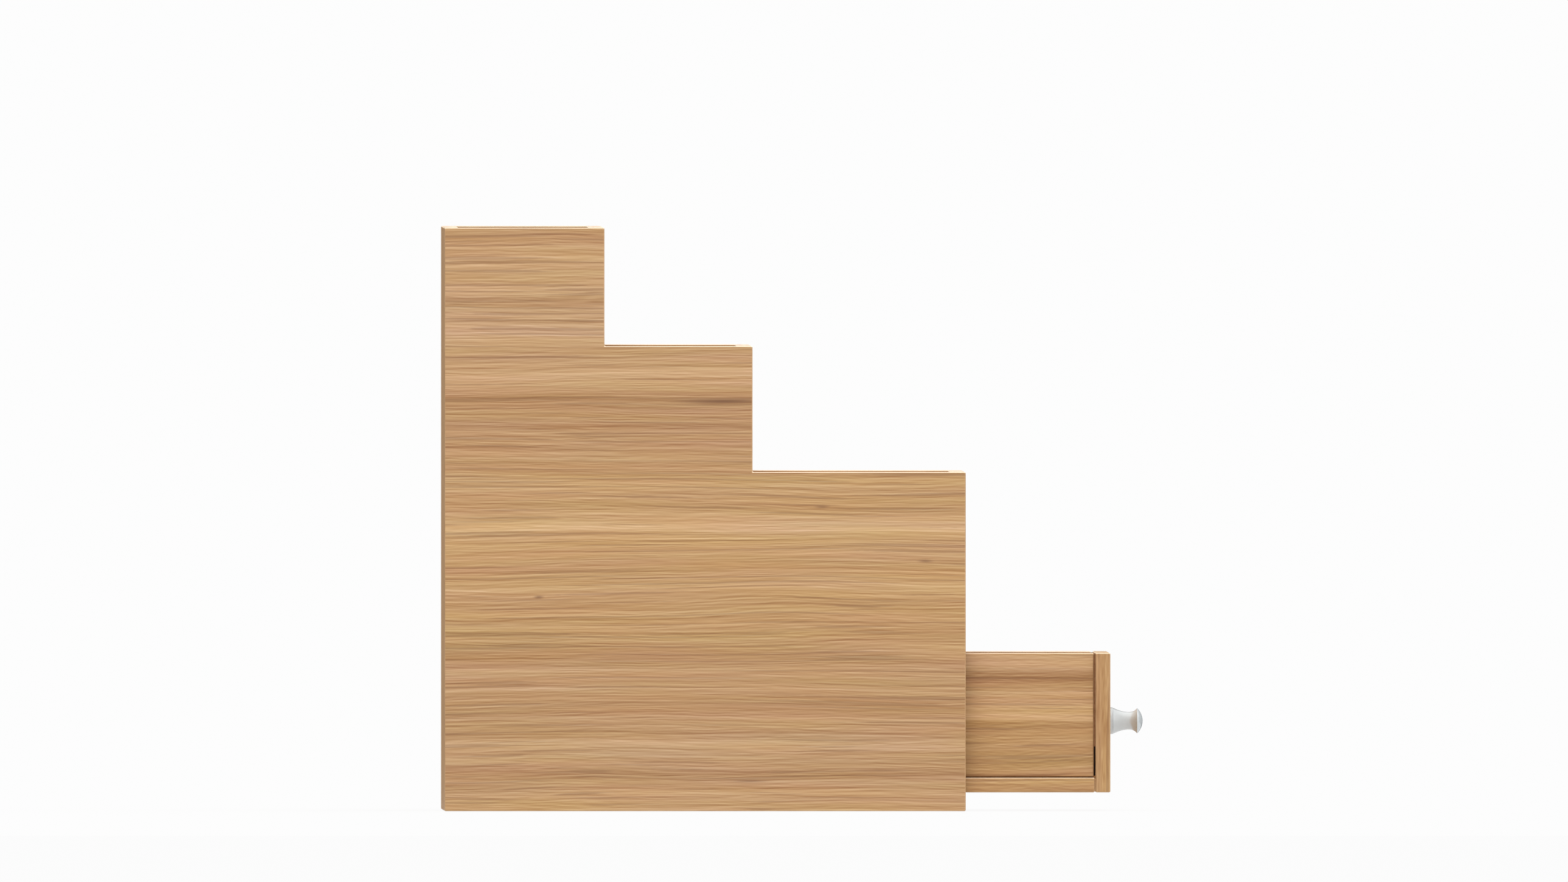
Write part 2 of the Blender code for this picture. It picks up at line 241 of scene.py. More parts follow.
# Painted highlight on what faces up, standing in for the strong light from above: its cream, how
# far up a face must look, and how strongly edge bands and rounded edges are lightened
TOP_HIGHLIGHT_COLOUR = (0.88, 0.75, 0.57, 1.0)
TOP_HIGHLIGHT_SPAN = (0.15, 0.6)
BAND_TOP_HIGHLIGHT = 0.3
ARRIS_TOP_HIGHLIGHT = 0.85

# How strongly the bands below lighten and darken the grain, and their pinkness in red, green, blue
BAND_DEPTH = 0.82
BLUSH = (-0.03, -0.03, 0.085)

# Broad bands up the near side panel: height in millimetres, lightness and pinkness
PANEL_BANDS = (
    (0, 0.04, -0.3),
    (14, -0.09, 0.0),
    (23, 0.09, 0.9),
    (35, -0.15, 0.5),
    (46, -0.09, 0.3),
    (60, -0.02, -0.6),
    (76, 0.07, 0.2),
    (84, 0.00, 0.1),
    (95, 0.12, -0.7),
    (110, 0.01, -0.2),
    (123, -0.09, 0.3),
    (135, -0.11, 0.2),
    (148, 0.13, 0.1),
    (154, 0.00, -0.1),
    (164, 0.12, 0.6),
    (173, -0.03, 0.5),
    (183, 0.14, -0.6),
    (191, 0.00, 0.1),
)

# The same for the drawer's near side
DRAWER_BANDS = (
    (0.0, 0.0, 0.0),
    (12.5, 0.04, -0.2),
    (18.5, -0.08, -0.3),
    (23.0, 0.04, -0.2),
    (27.5, -0.12, 0.1),
    (32.0, 0.15, 0.1),
    (36.0, -0.02, 0.1),
    (41.0, 0.04, 0.0),
    (46.0, -0.24, 0.5),
    (49.0, 0.03, 0.0),
    (51.5, 0.16, -0.4),
)

# Dark marks in the near side panel, from its lower rear corner: forward, up, half its length,
# half its thickness (all in millimetres) and how dark
PANEL_MARKS = (
    (94.0, 138.8, 17.0, 1.0, 1.0),
    (31.8, 72.8, 1.8, 0.55, 0.75),
    (127.4, 103.7, 2.6, 0.6, 0.60),
    (162.4, 83.7, 2.8, 0.7, 0.65),
    (103.0, 10.2, 6.0, 0.6, 0.60),
)

# Glue and filler, and the painted shade low in the seam behind the drawer's front, darker tone and
# lighter tone
GLUE = ((0.075, 0.036, 0.016), (0.115, 0.058, 0.027))
PALE_GLUE = ((0.40, 0.22, 0.105), (0.50, 0.29, 0.145))
FILLER = ((0.25, 0.12, 0.055), (0.32, 0.16, 0.078))
# Near-black painted shade for the low part of the seam behind the drawer's front
SHADOW = ((0.016, 0.009, 0.006), (0.030, 0.016, 0.009))

# What closes the joints: name, body, the axes along which it closes gaps, the least and greatest
# width of those gaps in millimetres, the shares of the joint's height between which it stands, and
# its tones. Low in the seam behind the drawer's front it is a near-black strip of painted shade,
# and where the drawer's bottom meets the front it hardly shows.
FILLINGS = (
    ("glue_lines", "carcass", "XYZ", (0.0, 0.4), (0.0, 1.0), GLUE),
    ("glue_lines", "drawer", "YZ", (0.0, 0.4), (0.0, 1.0), GLUE),
    ("pale_glue", "drawer", "X", (0.0, 0.4), (0.0, 1.0), PALE_GLUE),
    ("seam_filler", "drawer", "X", (0.4, 0.7), (0.24, 1.0), FILLER),
    ("seam_shadow", "drawer", "X", (0.4, 0.7), (0.0, 0.24), SHADOW),
)

# How far glue stays in from the boards' edges and clear of their faces, and its least length
GLUE_INSET = 0.35 * MM
GLUE_PLAY = 0.02 * MM
GLUE_SHORTEST = 1.0 * MM

# The glue's unevenness: the noise's scale and detail, and its values at the two tones
GLUE_SCALE = (900.0, 900.0, 900.0)
GLUE_DETAIL = 2.0
GLUE_SPAN = (0.35, 0.65)

# The values that a noise mostly stays between
NOISE_SPAN = (0.3, 0.7)

# Finishes that follow one noise: its scale and detail, tones as (noise value, colour), roughness
# where the noise is low and where it's high, and the relief's strength and depth
# The rounded edges' tones are a little paler than the faces: partly scuffed film, partly a painted
# highlight along the edges
ARRIS = {
    "scale": (220.0, 220.0, 220.0),
    "detail": 3.0,
    "tones": (
        (0.30, (0.45, 0.270, 0.130)),
        (0.50, (0.52, 0.325, 0.170)),
        (0.70, (0.58, 0.385, 0.220)),
    ),
    "roughness": (0.50, 0.66),
    "relief": (0.2, 0.05 * MM),
}
# The dowels' beech tones are darkened as painted shade, since the dowels show only deep in the
# joints
BEECH = {
    "scale": (900.0, 400.0, 900.0),
    "detail": 2.0,
    "tones": ((0.35, (0.44, 0.25, 0.13)), (0.65, (0.56, 0.34, 0.18))),
    "roughness": (0.72, 0.58),
    "relief": (0.3, 0.1 * MM),
}
NICKEL = {
    "scale": (350.0, 350.0, 350.0),
    "detail": 3.0,
    "tones": ((0.3, (0.565, 0.600, 0.612)), (0.7, (0.605, 0.640, 0.652))),
    "roughness": (0.16, 0.24),
    "relief": (0.06, 0.02 * MM),
}
ZINC = {
    "scale": (700.0, 700.0, 700.0),
    "detail": 4.0,
    "tones": ((0.3, (0.42, 0.42, 0.40)), (0.7, (0.62, 0.62, 0.61))),
    "roughness": (0.28, 0.45),
    "relief": (0.15, 0.03 * MM),
}
TAPE = {
    "scale": (12.0, 1400.0, 50.0),
    "detail": 2.0,
    "tones": ((0.35, (0.58, 0.57, 0.53)), (0.65, (0.72, 0.71, 0.67))),
    "roughness": (0.55, 0.32),
    "relief": (0.2, 0.03 * MM),
}

# How metallic the knob's lacquered nickel looks, and the noise of its turning marks
NICKEL_METALLIC = 0.22
TURNING_MARKS = (9000.0, 200.0, 200.0)


class Graph:
    """The shader nodes of a new material, or of a tree that is given."""

    def __init__(self, name="", tree=None, **constants):
        if tree:
            self.tree = tree
            return
        self.material = bpy.data.materials.new(name)
        self.material.use_nodes = True
        self.tree = self.material.node_tree
        self.shader = self.tree.nodes["Principled BSDF"]
        for socket, value in constants.items():
            self.shader.inputs[socket.replace("_", " ")].default_value = value

    def feed(self, socket, value):
        """Links an output to a socket, or sets the socket's own value."""
        if isinstance(value, bpy.types.NodeSocket):
            self.tree.links.new(value, socket)
        else:
            socket.default_value = value

    def node(self, kind, inputs=(), **settings):
        """Adds a node with its settings and inputs and returns it."""
        made = self.tree.nodes.new("ShaderNode" + kind)
        for name, value in settings.items():
            setattr(made, name, value)
        for socket, value in dict(inputs).items():
            self.feed(made.inputs[socket], value)
        return made

    def place(self):
        """Returns the surface point in the object's own space."""
        return self.node("TexCoord").outputs["Object"]

    def parts(self, vector):
        """Returns the outputs of a vector's X, Y and Z."""
        return self.node("SeparateXYZ", {"Vector": vector}).outputs

    def math(self, operation, first, second):
        """Returns the output of a Math node."""
        return self.node("Math", {0: first, 1: second}, operation=operation).outputs[0]

    def vector(self, operation, first, second):
        """Returns the output of a Vector Math node."""
        return self.node("VectorMath", {0: first, 1: second}, operation=operation).outputs[0]

    def noise(self, place, scale, detail=0.0):
        """Returns the outputs of a Noise node with its own stretch along each axis."""
        inputs = {"Vector": self.vector("MULTIPLY", place, scale), "Scale": 1.0, "Detail": detail}
        return self.node("TexNoise", inputs).outputs

    def centred_noise(self, place, scale, detail=0.0):
        """Returns three noises at once, as a vector around zero."""
        return self.vector("SUBTRACT", self.noise(place, scale, detail)["Color"], (0.5, 0.5, 0.5))

    def ramp(self, value, stops, smooth=False):
        """Returns the colour of a ramp with (position, colour) stops."""
        made = self.node("ValToRGB", {"Fac": value})
        made.color_ramp.interpolation = "EASE" if smooth else "LINEAR"
        elements = made.color_ramp.elements
        while len(elements) < len(stops):
            elements.new(0.5)
        for element, (position, colour) in zip(elements, stops):
            element.position = position
            element.color = (*colour, 1.0)
        return made.outputs["Color"]

    def remap(self, value, span, to_span=(0.0, 1.0), kind="LINEAR"):
        """Returns a value carried from one range to another and clamped there."""
        inputs = {
            "Value": value,
            "From Min": span[0],
            "From Max": span[1],
            "To Min": to_span[0],
            "To Max": to_span[1],
        }
        return self.node("MapRange", inputs, interpolation_type=kind, clamp=True).outputs[0]

    def mix(self, share, first, second):
        """Returns the first colour with a share of the second."""
        made = self.node("Mix", data_type="RGBA", blend_type="MIX")
        colours = [s for s in made.inputs if s.type == "RGBA"]
        self.feed(made.inputs[0], share)
        self.feed(colours[0], first)
        self.feed(colours[1], second)
        return next(s for s in made.outputs if s.type == "RGBA")

    def tint(self, colour, amount, shift):
        """Returns a colour with red, green and blue moved by an amount times their shift."""
        moved = self.vector("ADD", self.vector("MULTIPLY", amount, shift), (1.0, 1.0, 1.0))
        return self.vector("MULTIPLY", colour, moved)

    def paint(self, colour):
        """Sets the material's colour."""
        self.feed(self.shader.inputs["Base Color"], colour)

    def roughen(self, roughness):
        """Sets the material's roughness."""
        self.feed(self.shader.inputs["Roughness"], roughness)

    def emboss(self, height, relief):
        """Gives the material a fine relief of a strength and a depth."""
        strength, depth = relief
        bump = self.node("Bump", {"Strength": strength, "Distance": depth, "Height": height})
        self.feed(self.shader.inputs["Normal"], bump.outputs[0])


def grain_place(graph, grain):
    """Returns the surface point as (along, across, across) the grain, moved for each board."""
    shift = graph.node("Attribute", attribute_type="OBJECT", attribute_name="grain_shift")
    parts = graph.parts(graph.vector("ADD", graph.place(), shift.outputs["Vector"]))
    order = {"X": "XZY", "Y": "YZX", "Z": "ZYX"}[grain]
    inputs = {axis: parts[source] for axis, source in zip(AXES, order)}
    return graph.node("CombineXYZ", inputs).outputs[0]


def band_tones(graph, place, bands):
    """Returns the lightness and the pinkness of a board's own broad bands at each height."""
    top = bands[-1][0] * MM
    stops = []
    for up, light, pink in bands:
        stops.append((up * MM / top, (0.5 + BAND_DEPTH * light, 0.5, 0.5 + 0.5 * pink)))
    height = graph.math("DIVIDE", graph.parts(place)["Y"], top)
    tones = graph.ramp(height, stops, smooth=True)
    parts = graph.node("SeparateColor", {"Color": tones}).outputs
    return [graph.math("SUBTRACT", parts[part], 0.5) for part in ("Red", "Blue")]


def panel_marks(graph, place):
    """Returns a mask of the near side panel's dark streak and small knots."""
    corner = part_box("side_panel_left")[0]
    total = 0.0
    for forward, up, length, thickness, dark in PANEL_MARKS:
        centre = (corner.x + forward * MM, corner.z + up * MM, 0.0)
        scale = (1 / (length * MM), 1 / (thickness * MM), 0.0)
        offset = graph.vector("MULTIPLY", graph.vector("SUBTRACT", place, centre), scale)
        distance = graph.node("VectorMath", {0: offset}, operation="LENGTH").outputs["Value"]
        spot = graph.remap(distance, (0.0, MARK_FADE), (dark, 0.0), "SMOOTHSTEP")
        total = graph.math("MAXIMUM", total, spot)
    return total


def bend_grain(graph, place, reach, scale):
    """Returns the surface point moved a little across the grain, so that streaks wander."""
    bend = graph.centred_noise(place, scale, detail=1.0)
    return graph.vector("ADD", place, graph.vector("MULTIPLY", bend, (0.0, reach, reach)))


def streak(length, width):
    """Returns the noise scale of streaks of a length and width in millimetres."""
    return (1 / (length * MM), 1 / (width * MM), 1 / (width * MM))


def streak_layer(graph, place, length, width):
    """Returns streaks around zero: a noise less the same noise just beside it across the grain."""
    beside = graph.vector("ADD", place, (0.0, STREAK_STEP * width * MM, 0.0))
    here, there = (graph.noise(p, streak(length, width))["Fac"] for p in (place, beside))
    return graph.math("SUBTRACT", here, there)


def grain_tone(graph, place, tone, contrast, drawer):
    """Returns a tone with every layer of streaks added to it."""
    for length, width, weight in GRAIN_LAYERS:
        if drawer:
            length *= DRAWER_STRETCH
            weight *= DRAWER_FINE if width < FINE_BELOW else 1.0
        layer = streak_layer(graph, place, length, width)
        tone = graph.math("ADD", tone, graph.math("MULTIPLY", layer, weight * contrast))
    return tone


def paint_top_highlight(graph, colour, share):
    """Returns a colour lightened towards pale cream on surfaces that face up: a painted highlight.
    """
    normal = graph.node("NewGeometry").outputs["True Normal"]
    top_lift = graph.remap(graph.parts(normal)["Z"], TOP_HIGHLIGHT_SPAN, (0.0, share))
    return graph.mix(top_lift, colour, TOP_HIGHLIGHT_COLOUR)


def wood(name, grain, band=False, bands=None, marked=False, drawer=False):
    """Returns printed wood-grain laminate, with a board's own bands and marks where it has them."""
    graph = Graph(name, **LACQUER)
    contrast, gloss = (BAND_CONTRAST, BAND_GLOSS) if band else (1.0, 0.0)
    place = bend_grain(graph, grain_place(graph, grain), *GRAIN_WANDER)
    light, pink = band_tones(graph, place, bands) if bands else (0.0, 0.0)
    mask = panel_marks(graph, place) if marked else 0.0
    place = bend_grain(graph, place, *FIBRE_WANDER)
    tone = grain_tone(graph, place, graph.math("ADD", light, 0.5), contrast, drawer)

    colour = graph.ramp(tone, GRAIN_TONES)
    if drawer:
        colour = graph.vector("MULTIPLY", colour, DRAWER_TINT)
    for length, width, shift in HUE_DRIFTS:
        colour = graph.tint(colour, graph.centred_noise(place, streak(length, width)), shift)
    if bands:
        pinks = graph.node("CombineXYZ", {axis: pink for axis in AXES}).outputs[0]
        colour = graph.tint(colour, pinks, BLUSH)
    line = graph.noise(place, streak(*DARK_LINE))["Fac"]
    line = graph.remap(line, DARK_LINE_SPAN, kind="SMOOTHSTEP")
    colour = graph.mix(graph.math("MULTIPLY", line, DARK_LINE_SHARE), colour, MARK_COLOUR)
    if marked:
        colour = graph.mix(mask, colour, MARK_COLOUR)
    # Edge bands get a painted highlight where they face up
    if band:
        colour = paint_top_highlight(graph, colour, BAND_TOP_HIGHLIGHT)
    graph.paint(colour)

    sheen = graph.remap(tone, GRAIN_SPAN, [roughness - gloss for roughness in GRAIN_ROUGHNESS])
    smudge = graph.noise(place, SMUDGE_SCALE, SMUDGE_DETAIL)["Fac"]
    graph.roughen(graph.math("ADD", sheen, graph.remap(smudge, NOISE_SPAN, SMUDGE_ROUGHNESS)))
    dent = graph.math("MULTIPLY", line, DARK_LINE_DEPTH)
    graph.emboss(graph.math("SUBTRACT", tone, dent), GRAIN_RELIEF)
    return graph.material


def finished(graph, look, highlight_share=0.0, marks=None):
    """Gives a material a finish, with a painted highlight where it faces up, or with a relief of
    its own.
    """
    noise = graph.noise(graph.place(), look["scale"], look["detail"])["Fac"]
    colour = graph.ramp(noise, look["tones"])
    if highlight_share:
        colour = paint_top_highlight(graph, colour, highlight_share)
    graph.paint(colour)
    graph.roughen(graph.remap(noise, NOISE_SPAN, look["roughness"]))
    relief = graph.noise(graph.place(), marks)["Fac"] if marks else noise
    graph.emboss(relief, look["relief"])
    return graph.material


def highlit_arris():
    """Returns the film of the rounded board edges: scuffed and a little paler, partly as painted
    highlight, and palest where it faces up, a painted highlight.
    """
    return finished(Graph("highlit_arris", **LACQUER), ARRIS, highlight_share=ARRIS_TOP_HIGHLIGHT)


def beech():
    """Returns beech for the dowels, darkened as painted shade since they show only deep in the
    joints, with short flecks that run along Y.
    """
    return finished(Graph("beech"), BEECH)


def satin_nickel():
    """Returns satin nickel under lacquer: a flat light grey with faint turning marks and haze."""
    return finished(Graph("satin_nickel", Metallic=NICKEL_METALLIC), NICKEL, marks=TURNING_MARKS)


def zinc_plate():
    """Returns dull zinc plate with its cloudy sheen."""
    return finished(Graph("zinc_plate", Metallic=1.0), ZINC)


def glide_tape():
    """Returns pale low-friction tape, rubbed shinier in lines along the way the drawer runs."""
    return finished(Graph("glide_tape"), TAPE)


def crumbly(name, darker, lighter):
    """Returns dry glue, filler or the seam's near-black painted shade, slightly uneven in tone."""
    graph = Graph(name, Roughness=0.85, Specular_IOR_Level=0.1)
    crumbs = graph.noise(graph.place(), GLUE_SCALE, GLUE_DETAIL)["Fac"]
    graph.paint(graph.ramp(crumbs, tuple(zip(GLUE_SPAN, (darker, lighter)))))
    return graph.material


def mesh_object(name, shape):
    """Returns a new object in the scene from a bmesh, which is then freed."""
    mesh = bpy.data.meshes.new(name)
    shape.to_mesh(mesh)
    shape.free()
    made = bpy.data.objects.new(name, mesh)
    bpy.context.scene.collection.objects.link(made)
    return made


def round_all_edges(shape, radius):
    """Rounds every edge of a bmesh."""
    bmesh.ops.bevel(
        shape,
        geom=shape.edges[:],
        offset=radius,
        offset_type="OFFSET",
        segments=EDGE_SEGMENTS,
        profile=0.5,
        affect="EDGES",
    )


def add_box(shape, low, high):
    """Adds a box between two corners to a bmesh."""
    place = Matrix.Translation((low + high) / 2) @ Matrix.Diagonal((*(high - low), 1.0))
    bmesh.ops.create_cube(shape, size=1.0, matrix=place)


def box_shape(low, high):
    """Returns a bmesh box between two corners."""
    shape = bmesh.new()
    add_box(shape, low, high)
    return shape


def step_depth(step):
    """Returns how far a tier's level top runs back from its front board."""
    behind = {
        "front_tier_front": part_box("middle_tier_front")[1].x,
        "middle_tier_front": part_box("rear_tier_front")[1].x,
        "rear_tier_front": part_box("back_panel")[0].x,
    }
    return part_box(step)[1].x - behind[step]


def stair_shape(node):
    """Returns a bmesh of a side panel, its steps taken from the three boards that stand there."""
    low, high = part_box(node)
    outline = [(low.x, low.z), (high.x, low.z)]
    for step in ("front_tier_front", "middle_tier_front", "rear_tier_front"):
        step_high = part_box(step)[1]
        outline.append((step_high.x, step_high.z))
        outline.append((step_high.x - step_depth(step), step_high.z))
    shape = bmesh.new()
    corners = [shape.verts.new((x, low.y, z)) for x, z in outline]
    sheet = shape.faces.new(corners)
    grown = bmesh.ops.extrude_face_region(shape, geom=[sheet])["geom"]
    moved = [part for part in grown if isinstance(part, bmesh.types.BMVert)]
    bmesh.ops.translate(shape, verts=moved, vec=(0, high.y - low.y, 0))
    bmesh.ops.recalc_face_normals(shape, faces=shape.faces[:])
    return shape


def boxes_meet(first, second):
    """Returns whether two boxes overlap."""
    return all(first[0][i] < second[1][i] and second[0][i] < first[1][i] for i in range(3))


def add_drill(shape, place, radius, length):
    """Adds a cylinder around the Z axis of a place to a bmesh."""
    bmesh.ops.create_cone(
        shape,
        cap_ends=True,
        segments=DRILL_SIDES,
        radius1=radius,
        radius2=radius,
        depth=length,
        matrix=place,
    )


def add_dowel_drill(shape, dowel):
    """Adds a cylinder a little bigger than a dowel to a bmesh."""
    low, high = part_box(dowel)
    size = high - low
    axis = max(range(3), key=lambda i: size[i])
    direction = Vector([float(i == axis) for i in range(3)])
    turn = Vector((0, 0, 1)).rotation_difference(direction).to_matrix().to_4x4()
    place = Matrix.Translation((low + high) / 2) @ turn
    add_drill(shape, place, min(size) / 2 + DOWEL_PLAY, size[axis] + 2 * DOWEL_END_PLAY)


def add_knob_drill(shape):
    """Adds a cylinder for the knob's hole through the drawer's front to a bmesh."""
    low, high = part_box("drawer_front")
    screw_low, screw_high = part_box("knob_screw")
    head_radius = min(screw_high - screw_low) / 2
    middle = ((low.x + high.x) / 2, 0, (screw_low.z + screw_high.z) / 2)
    place = Matrix.Translation(middle) @ Matrix.Rotation(math.radians(90), 4, "Y")
    length = KNOB_DRILL_LENGTH * (high.x - low.x)
    add_drill(shape, place, KNOB_HOLE_SHARE * head_radius, length)


def drill(piece, node):
    """Cuts the blind dowel holes, and the knob's hole, out of a board."""
    shape = bmesh.new()
    for other in frame["nodes"]:
        if other.startswith("dowel") and boxes_meet(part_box(node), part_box(other)):
            add_dowel_drill(shape, other)
    if node == "drawer_front":
        add_knob_drill(shape)
    if not shape.verts:
        shape.free()
        return
    cutter = mesh_object(piece.name + "_drill", shape)
    boolean = piece.modifiers.new("drill", "BOOLEAN")
    boolean.operation = "DIFFERENCE"
    boolean.object = cutter
    graph = bpy.context.evaluated_depsgraph_get()
    drilled = bpy.data.meshes.new_from_object(piece.evaluated_get(graph), depsgraph=graph)
    piece.modifiers.clear()
    piece.data = drilled
    bpy.data.objects.remove(cutter)


def smooth(piece):
    """Shades a piece smooth with its flat faces kept flat and its sharp corners sharp."""
    piece.data.shade_smooth()
    piece.data.set_sharp_from_angle(angle=math.radians(BOX_SHARP_ANGLE))
    flatten = piece.modifiers.new("flat faces", "WEIGHTED_NORMAL")
    flatten.keep_sharp = True


def lay_grain(piece, node, face_grain, materials):
    """Gives each face the grain that runs along it: the board's own, or an edge band's."""
    low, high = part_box(node)
    size = high - low
    thickness = min(range(3), key=lambda i: size[i])
    piece.data.materials.clear()
    for material in materials.values():
        piece.data.materials.append(material)
    slots = list(materials)
    for face in piece.data.polygons:
        facing = max(range(3), key=lambda i: abs(face.normal[i]))
        if abs(face.normal[facing]) < ARRIS_BELOW:
            key = ("arris", "")
        elif facing == thickness:
            key = ("face", face_grain)
        else:
            key = ("edge", AXES[3 - facing - thickness])
        face.material_index = slots.index(key)


def put_in_place(piece, node):
    """Lets a piece ride on its node's body and stand for that node."""
    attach(piece, frame["nodes"][node]["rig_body"])
    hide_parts(node)


def films(label, **settings):
    """Returns the laminate and edge-band materials of one kind of board, by their place on it."""
    made = {}
    for axis in AXES:
        made["face", axis] = wood(f"{label}_{axis}", axis, **settings)
    for axis in AXES:
        made["edge", axis] = wood(f"{label}_band_{axis}", axis, band=True, **settings)
    return made


def make_board(node, face_grain, materials, number):
    """Makes a rounded, drilled laminate board for a CAD board, its print moved by its number."""
    shape = stair_shape(node) if node.startswith("side_panel") else box_shape(*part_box(node))
    round_all_edges(shape, EDGE_RADIUS)
    piece = mesh_object(node + "_board", shape)
    drill(piece, node)
    lay_grain(piece, node, face_grain, materials)
    smooth(piece)
    piece["grain_shift"] = [shift * number for shift in GRAIN_SHIFT]
    put_in_place(piece, node)


def make_boards():
    """Makes every board of the carcass and the drawer."""
    arris = {("arris", ""): highlit_arris()}
    kinds = {"carcass": films("carcass") | arris, "drawer": films("drawer", drawer=True) | arris}
    near = wood("near_side", "X", bands=PANEL_BANDS, marked=True)
    drawer_near = wood("drawer_near_side", "X", bands=DRAWER_BANDS, drawer=True)
    make_board("side_panel_left", "X", kinds["carcass"] | {("face", "X"): near}, 0)
    make_board("drawer_side_left", "X", kinds["drawer"] | {("face", "X"): drawer_near}, 0)
    for number, (node, grain) in enumerate(BOARDS.items(), 1):
        make_board(node, grain, kinds[frame["nodes"][node]["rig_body"]], number)


def turned_piece(name, profile):
    """Returns a piece turned about the X axis of the knob from (x, radius) points."""
    low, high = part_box("knob")
    middle_z = (low.z + high.z) / 2
    shape = bmesh.new()
    points = [shape.verts.new((x, 0, middle_z + radius)) for x, radius in profile]
    lines = [shape.edges.new(pair) for pair in zip(points, points[1:])]
    bmesh.ops.spin(
        shape,
        geom=points + lines,
        cent=(0, 0, middle_z),
        axis=(1, 0, 0),
        angle=2 * math.pi,
        steps=TURNED_SIDES,
        use_merge=True,
    )
    bmesh.ops.remove_doubles(shape, verts=shape.verts[:], dist=WELD_DISTANCE)
    bmesh.ops.recalc_face_normals(shape, faces=shape.faces[:])
    piece = mesh_object(name, shape)
    piece.data.shade_smooth()
    piece.data.set_sharp_from_angle(angle=math.radians(TURNED_SHARP_ANGLE))
    return piece


def arc(centre, radius, start, end, steps):
    """Returns (forward, out) points on an arc between two angles in degrees from forward."""
    angles = [math.radians(start + (end - start) * i / steps) for i in range(steps + 1)]
    return [(centre[0] + radius * math.cos(a), centre[1] + radius * math.sin(a)) for a in angles]


def flare(waist, end, power, shares):
    """Returns points at shares of the way from the knob's waist out to one of its ends."""
    (waist_x, waist_radius), (end_x, end_radius) = waist, end
    points = []
    for share in shares:
        x = waist_x + (end_x - waist_x) * share
        points.append((x, waist_radius + (end_radius - waist_radius) * share**power))
    return points


def knob_profile(reach, base_x, base_radius):
    """Returns the knob's outline from its tip to its screw hole, forward of the drawer's front."""
    waist = (KNOB_WAIST[0] * reach, KNOB_WAIST[1] * base_radius)
    rim_x, rim_radius = KNOB_RIM[0] * reach, KNOB_RIM[1] * base_radius
    rise = reach - rim_x
    dome_radius = (rim_radius**2 + rise**2) / (2 * rise)
    half_angle = math.degrees(math.asin(rim_radius / dome_radius))
    rim_back = rim_x - RIM_THICKNESS
    shares = [step / FLARE_STEPS for step in range(FLARE_STEPS + 1)]
    hole_x, hole_radius = base_x + SCREW_HOLE[0] * reach, SCREW_HOLE[1] * base_radius

    profile = arc((reach - dome_radius, 0.0), dome_radius, 0.0, half_angle, DOME_STEPS)
    profile.append((rim_back, rim_radius - RIM_CHAMFER))
    profile += flare(waist, (rim_back, rim_radius - RIM_UNDERCUT), RIM_FLARE, shares[-2::-1])
    profile += flare(waist, (base_x, base_radius), BASE_FLARE, shares[1:])
    profile += [(base_x, hole_radius), (hole_x, hole_radius), (hole_x, 0.0)]
    return profile


def make_knob():
    """Makes the turned knob with its flared base, narrow waist, thin rim and low dome."""
    metal = satin_nickel()
    face_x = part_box("drawer_front")[1].x
    low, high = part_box("knob")
    base_radius = (high.y - low.y) / 2
    profile = knob_profile(high.x - face_x, low.x - face_x, base_radius)
    knob = turned_piece("knob_turned", [(face_x + x, radius) for x, radius in profile])
    knob.data.materials.append(metal)
    put_in_place(knob, "knob")

    flange_low, flange_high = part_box("knob_flange")
    outer = (flange_high.y - flange_low.y) / 2
    hole = SCREW_HOLE[1] * base_radius
    back_x = face_x + FLANGE_BACK_PLAY
    front_x = low.x - FLANGE_FRONT_PLAY
    corner = (front_x - FLANGE_SOFTNESS, outer - FLANGE_SOFTNESS)
    ring = [(back_x, outer)]
    ring += reversed(arc(corner, FLANGE_SOFTNESS, 0, 90, FLANGE_STEPS))
    ring += [(front_x, hole), (back_x, hole), (back_x, outer)]
    flange = turned_piece("knob_flange_ring", ring)
    flange.data.materials.append(metal)
    put_in_place(flange, "knob_flange")


def make_glides():
    """Makes the two low-friction strips under the drawer."""
    tape = glide_tape()
    for side in ("left", "right"):
        node = "glide_strip_" + side
        shape = box_shape(*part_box(node))
        round_all_edges(shape, GLIDE_RADIUS)
        piece = mesh_object(node + "_tape", shape)
        piece.data.materials.append(tape)
        smooth(piece)
        put_in_place(piece, node)


def filling_box(first, second, axes, widths, heights):
    """Returns the two corners of what fills the joint between two boards, or None."""
    low = Vector([max(pair) for pair in zip(first[0], second[0])])
    high = Vector([min(pair) for pair in zip(first[1], second[1])])
    apart = [i for i in range(3) if low[i] > high[i]]
    if len(apart) != 1 or AXES[apart[0]] not in axes:
        return None
    axis = apart[0]
    if not widths[0] < (low[axis] - high[axis]) / MM < widths[1]:
        return None
    low[axis], high[axis] = high[axis] + GLUE_PLAY, low[axis] - GLUE_PLAY
    for other in {0, 1, 2} - {axis}:
        low[other] += GLUE_INSET
        high[other] -= GLUE_INSET
        if high[other] - low[other] < GLUE_SHORTEST:
            return None
    low.z, high.z = [low.z + share * (high.z - low.z) for share in heights]
    return low, high


def make_fillings():
    """Makes the lines of glue and filler that close the joints, and the painted shade low in the
    seam behind the drawer's front, set in from the boards' edges.
    """
    for name, body, axes, widths, heights, tones in FILLINGS:
        boards = [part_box(n) for n in ALL_BOARDS if frame["nodes"][n]["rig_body"] == body]
        shape = bmesh.new()
        for first, second in itertools.combinations(boards, 2):
            filled = filling_box(first, second, axes, widths, heights)
            if filled:
                add_box(shape, *filled)
        piece = mesh_object(name + "_" + body, shape)
        piece.data.materials.append(crumbly(piece.name, *tones))
        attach(piece, body)


